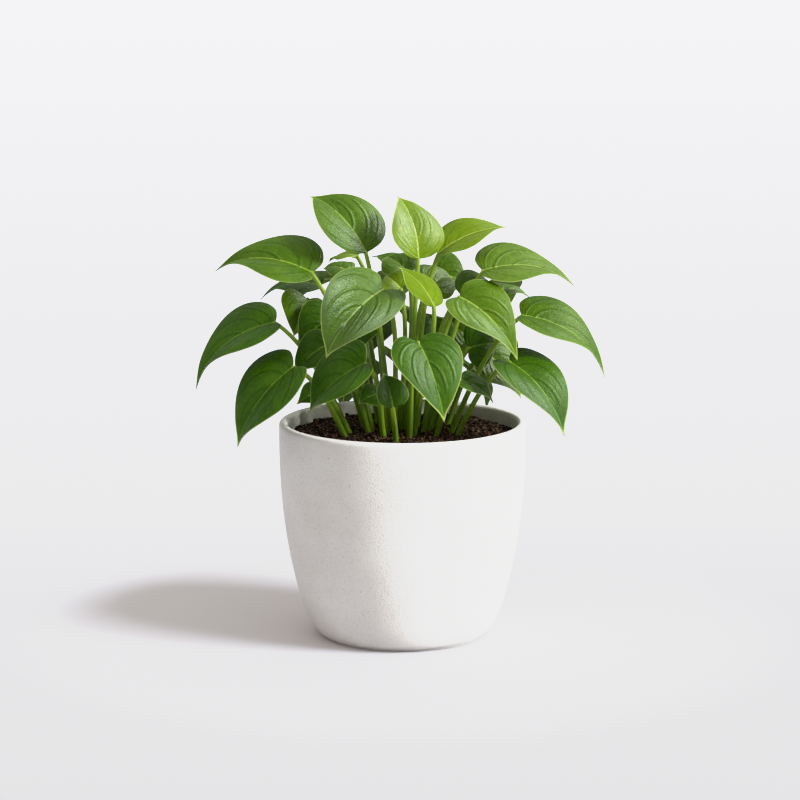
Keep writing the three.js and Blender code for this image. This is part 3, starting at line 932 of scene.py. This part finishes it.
def leaf_mesh(name, blade, seed, materials):
    points, faces, kinds, numbers = blade_mesh_data(blade, seed)
    route, radii, along = stalk_route(blade)
    stalk_points, stalk_faces = tube(route, radii, STALK_SIDES)
    first = len(points)
    points = np.concatenate([points, stalk_points])
    faces += [tuple(first + i for i in face) for face in stalk_faces]
    kinds += [2] * len(stalk_faces)
    stalk_along = np.append(np.repeat(along, STALK_SIDES), [along[0], along[-1]])
    mesh = make_mesh(name, points, faces)
    for key, values in numbers.items():
        tail = stalk_along if key == "along" else np.zeros(len(stalk_points))
        add_number(mesh, key, np.concatenate([values, tail]))
    for material in materials:
        mesh.materials.append(material)
    mesh.polygons.foreach_set("material_index", np.array(kinds, np.int32))
    mesh.shade_smooth()
    mesh.set_sharp_from_angle(angle=rad(LEAF_SHARP_FROM))
    return mesh


def stray(index, use):
    """One varying number between -1 and 1 for each leaf and use."""
    return math.sin(STRAY_STEPS[0] * index + STRAY_STEPS[1] * use)


def back_leaves():
    leaves = []
    for tier, count, first, last, *sizes in BACK_TIERS:
        joint_height, joint_radius, tier_reach, drop, width = sizes
        for i in range(count):
            seed = len(leaves) + 1
            turn = first + (last - first) * i / (count - 1)
            angle = rad(turn + BACK_VARIATION * stray(seed, 1))
            radius = joint_radius + BACK_VARIATION * stray(seed, 2)
            height = joint_height + BACK_VARIATION * stray(seed, 3)
            reach = radius + tier_reach + BACK_VARIATION * stray(seed, 4)
            tip_angle = angle + rad(2 * BACK_VARIATION * stray(seed, 5))
            leaves.append((
                f"back_{tier}_{i + 1}",
                (radius * math.cos(angle), radius * math.sin(angle), height),
                (reach * math.cos(tip_angle), reach * math.sin(tip_angle), height - drop),
                4 * BACK_VARIATION * stray(seed, 6),
                width + BACK_VARIATION * stray(seed, 7),
                BACK_BEND, BACK_FOLD, HEART,
            ))
    return leaves


def tone_of(name):
    for tone, names in TONES.items():
        if name in names:
            return tone
    return "dark"


def add_leaves():
    stalk = stalk_material()
    materials = {}
    for tone in LEAF_COLOURS:
        materials[tone] = (upper_material(tone), under_material(tone), stalk)
    pieces = []
    for seed, (name, *shape) in enumerate([*LEAVES, *back_leaves()]):
        tone = tone_of(name)
        node = "leaf_" + name
        mesh = leaf_mesh(node + "_fine", Blade(*shape), seed, materials[tone])
        slot = "young_leaf" if tone == "young" else "leaf"
        piece = add_piece(node + "_fine", mesh, slot, node)
        check_place(piece, node)
        pieces.append(piece)
    return pieces


def check_place(piece, node):
    """A leaf has to lie where its node lies."""
    corners = np.array([tuple(corner) for corner in piece.bound_box])
    own_box = np.array([corners.min(0), corners.max(0)])
    node_box = np.array([tuple(corner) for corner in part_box(node)])
    off = np.abs(own_box - node_box).max()
    if off > LEAF_PLACE_TOLERANCE * MM:
        raise ValueError(f"{piece.name} is {off / MM:.1f} mm off {node}")


# ---------- stage, light and camera ----------

CAMERA_DISTANCE = 1500
CAMERA_HEIGHT = 398
CAMERA_AIM_HEIGHT = 124.8
CAMERA_FOCAL_PIXELS = 2903
PICTURE_SIZE = 800
OBJECT_OFF_CENTRE = 2.5       # pixels that the pot's axis is right of the picture's middle
SENSOR_WIDTH = 36
CAMERA_REACH = 100            # metres

FLOOR_REACH = 30              # metres to each side
# Distance behind the pot in metres, and the floor's display brightness there.
FLOOR_SHADES = ((-0.3, 229), (0.07, 232), (0.7, 237), (2.1, 241), (3.7, 243), (8.0, 245))
FLOOR_TINT = (-0.6, -0.6, 1.2)  # what red, green and blue add to that brightness
FLOOR_PAINT = (0.653, 0.626, 0.635, 1.0)
FLOOR_LIT = (0.165, 0.23)     # metres between which lit paint fades into an even glow
BACKDROP_RADIUS = 28
BACKDROP_HEIGHT = 20
BACKDROP_SIDES = 64

# Suns: degrees from the camera's side towards the right, elevation, softness in degrees and light.
PLANT_SUN = (66, 30, 18, (3.9, 3.9, 3.9))
POT_SUN = (66, 30, 18, (8.0, 8.0, 8.0))
FLOOR_SUN = (64, 38.5, 20, (3.2, 3.44, 3.9))

# The leaves that hang over the pot's lit side. The pot's sun shines as if they weren't there.
OVERHANGING = ("leaf_middle_right", "leaf_low_right", "leaf_front_low")

# Soft boxes that only show as a sheen: place and size in metres, power in watts, then the leaves
# that they shine on and those among them that they spare, by the start of their names.
FAR_RIGHT = ("leaf_upper_right", "leaf_middle_right")
SHEENS = (
    ("sheen_right", (0.95, 0.28, 0.85), 1.1, 44.0, ("leaf_",), FAR_RIGHT + ("leaf_crown_front",)),
    ("sheen_far_right", (0.95, 0.28, 0.85), 1.1, 20.0, FAR_RIGHT, ()),
    ("sheen_front", (-0.28, -0.5, 1.05), 0.8, 60.0, ("leaf_front_left",), ()),
)

SKY_TOP = (1.0, 0.97, 0.93, 1.0)
SKY_TOP_STRENGTH = 0.95
SKY_SIDE_STRENGTH = 0.4
SKY_RISE = (0.1, 0.8)         # from the side's strength to the top's, by the height of a direction

# Film: pairs of light and how bright it shows, so that whites come up softly instead of clipping.
FILM_POINTS = (
    (0.0, 0.0), (0.6, 0.6), (0.8, 0.785), (1.0, 0.83), (1.4, 0.85), (2.6, 0.895), (4.0, 0.97),
)


def before_film(value):
    """How bright something has to be to come out at a display value from 0 to 255."""
    light, shown = zip(*FILM_POINTS)
    return float(np.interp(linear(value), shown, light))


def set_film():
    settings = bpy.context.scene.view_settings
    settings.view_transform = "Standard"
    settings.use_curve_mapping = True
    mapping = settings.curve_mapping
    most = FILM_POINTS[-1][0]
    mapping.white_level = (most, most, most)
    mapping.clip_max_x = 1.0
    curve = mapping.curves[3]
    for light, shown in FILM_POINTS[1:-1]:
        curve.points.new(light / most, shown)
    curve.points[-1].location = (1.0, FILM_POINTS[-1][1])
    for point in curve.points:
        point.handle_type = "VECTOR"
    mapping.update()


def add_camera():
    camera = bpy.data.cameras.new("camera")
    camera.sensor_width = SENSOR_WIDTH
    camera.lens = CAMERA_FOCAL_PIXELS / PICTURE_SIZE * SENSOR_WIDTH
    camera.shift_x = -OBJECT_OFF_CENTRE / PICTURE_SIZE
    camera.clip_end = CAMERA_REACH
    holder = link(bpy.data.objects.new("camera", camera))
    holder.location = (0, -CAMERA_DISTANCE * MM, CAMERA_HEIGHT * MM)
    aim = Vector((0, 0, CAMERA_AIM_HEIGHT * MM)) - holder.location
    holder.rotation_euler = aim.to_track_quat("-Z", "Y").to_euler()
    bpy.context.scene.camera = holder


def add_key(name, sun_values, lit, shading):
    """A broad sun from the right that lights some objects and is shaded by some."""
    azimuth, elevation, softness, light = sun_values
    sun = bpy.data.lights.new(name, "SUN")
    sun.energy = max(light)
    sun.color = [part / max(light) for part in light]
    sun.angle = rad(softness)
    holder = link(bpy.data.objects.new(name, sun))
    level = math.cos(rad(elevation))
    towards = Vector((
        level * math.sin(rad(azimuth)),
        -level * math.cos(rad(azimuth)),
        math.sin(rad(elevation)),
    ))
    holder.rotation_euler = towards.to_track_quat("Z", "Y").to_euler()
    holder.light_linking.receiver_collection = group_of(name + "_lit", lit)
    holder.light_linking.blocker_collection = group_of(name + "_shading", shading)


def add_sheen(name, place, size, power, lit):
    box = bpy.data.lights.new(name, "AREA")
    box.shape = "DISK"
    box.size = size
    box.energy = power
    holder = link(bpy.data.objects.new(name, box))
    holder.location = place
    holder.rotation_euler = Vector(place).to_track_quat("Z", "Y").to_euler()
    holder.visible_diffuse = False
    holder.light_linking.receiver_collection = group_of(name + "_lit", lit)


def group_of(name, things):
    group = bpy.data.collections.new(name)
    for thing in things:
        group.objects.link(thing)
    return group


def add_lights(pot, soil, leaves, floor):
    """One sun for each of plant, pot and floor, and the sheens."""
    shading = [leaf for leaf in leaves if not leaf.name.startswith(OVERHANGING)]
    add_key("key_plant", PLANT_SUN, [soil, *leaves], [pot, soil, *leaves])
    add_key("key_pot", POT_SUN, [pot], [pot, *shading])
    add_key("key_floor", FLOOR_SUN, [floor], [pot])
    for name, place, size, power, starts, spared in SHEENS:
        lit = [leaf for leaf in leaves
               if leaf.name.startswith(starts) and not leaf.name.startswith(spared)]
        add_sheen(name, place, size, power, lit)


def set_world():
    """A soft sky, bright overhead and darker towards the sides."""
    world = bpy.data.worlds.new("studio")
    world.use_nodes = True
    tree = world.node_tree
    background = tree.nodes["Background"]
    background.inputs["Color"].default_value = SKY_TOP
    where = tree.nodes.new("ShaderNodeTexCoord")
    split = tree.nodes.new("ShaderNodeSeparateXYZ")
    ease = tree.nodes.new("ShaderNodeMapRange")
    ease.interpolation_type = "SMOOTHSTEP"
    limits = (*SKY_RISE, SKY_SIDE_STRENGTH, SKY_TOP_STRENGTH)
    for socket, limit in zip(RANGE_SOCKETS, limits):
        ease.inputs[socket].default_value = limit
    tree.links.new(where.outputs["Generated"], split.inputs[0])
    tree.links.new(split.outputs["Z"], ease.inputs["Value"])
    tree.links.new(ease.outputs[0], background.inputs["Strength"])
    bpy.context.scene.world = world


def floor_shade(look):
    """The floor's even glow: a little brighter with distance."""
    place = look.add("SeparateXYZ", {0: look.position()}, "Y")
    first, last = FLOOR_SHADES[0][0], FLOOR_SHADES[-1][0]
    share = look.ease(place, first, last)
    share.node.interpolation_type = "LINEAR"
    ramp = look.tree.nodes.new("ShaderNodeValToRGB")
    look.join(ramp.inputs[0], share)
    stops = ramp.color_ramp.elements
    for distance, _ in FLOOR_SHADES[1:-1]:
        stops.new((distance - first) / (last - first))
    for stop, (_, value) in zip(stops, FLOOR_SHADES):
        stop.color = (*(before_film(value + tint) for tint in FLOOR_TINT), 1.0)
    return ramp.outputs[0]


def floor_material():
    """Pale paint round the pot, which takes its shadow, and an even glow further out."""
    look = Look("floor")
    look.set("Roughness", 0.9)
    look.set("Specular IOR Level", 0.0)
    glow = floor_shade(look)
    distance = look.add("VectorMath", {0: look.position()}, "Value", operation="LENGTH")
    far = look.ease(distance, *FLOOR_LIT)
    look.set("Base Color", look.blend(far, FLOOR_PAINT, (0, 0, 0, 1)))
    look.set("Emission Color", glow)
    look.set("Emission Strength", far)
    return look.material


def add_floor():
    reach = FLOOR_REACH
    corners = [(-reach, -reach, 0), (reach, -reach, 0), (reach, reach, 0), (-reach, reach, 0)]
    mesh = bpy.data.meshes.new("floor")
    mesh.from_pydata(corners, [], [(0, 1, 2, 3)])
    mesh.materials.append(floor_material())
    floor = link(bpy.data.objects.new("floor", mesh))
    return floor


def add_backdrop():
    """A far round wall in the floor's last shade, which gives no light."""
    angles = np.linspace(0, 2 * math.pi, BACKDROP_SIDES, endpoint=False)
    points = [(BACKDROP_RADIUS * math.cos(a), BACKDROP_RADIUS * math.sin(a), z)
              for z in (-1, BACKDROP_HEIGHT) for a in angles]
    mesh = bpy.data.meshes.new("backdrop")
    mesh.from_pydata(points, [], ring_faces(2, BACKDROP_SIDES))
    look = Look("backdrop")
    look.set("Roughness", 1.0)
    level = before_film(FLOOR_SHADES[-1][1])
    look.set("Base Color", (0, 0, 0, 1))
    look.set("Emission Color", (level, level, level, 1))
    look.set("Emission Strength", 1.0)
    mesh.materials.append(look.material)
    backdrop = link(bpy.data.objects.new("backdrop", mesh))
    backdrop.visible_diffuse = False
    backdrop.visible_glossy = False
    backdrop.visible_shadow = False
    backdrop.visible_transmission = False


add_camera()
pot = add_pot()
soil = add_soil()
leaves = add_leaves()
floor = add_floor()
add_backdrop()
add_lights(pot, soil, leaves, floor)
set_world()
set_film()
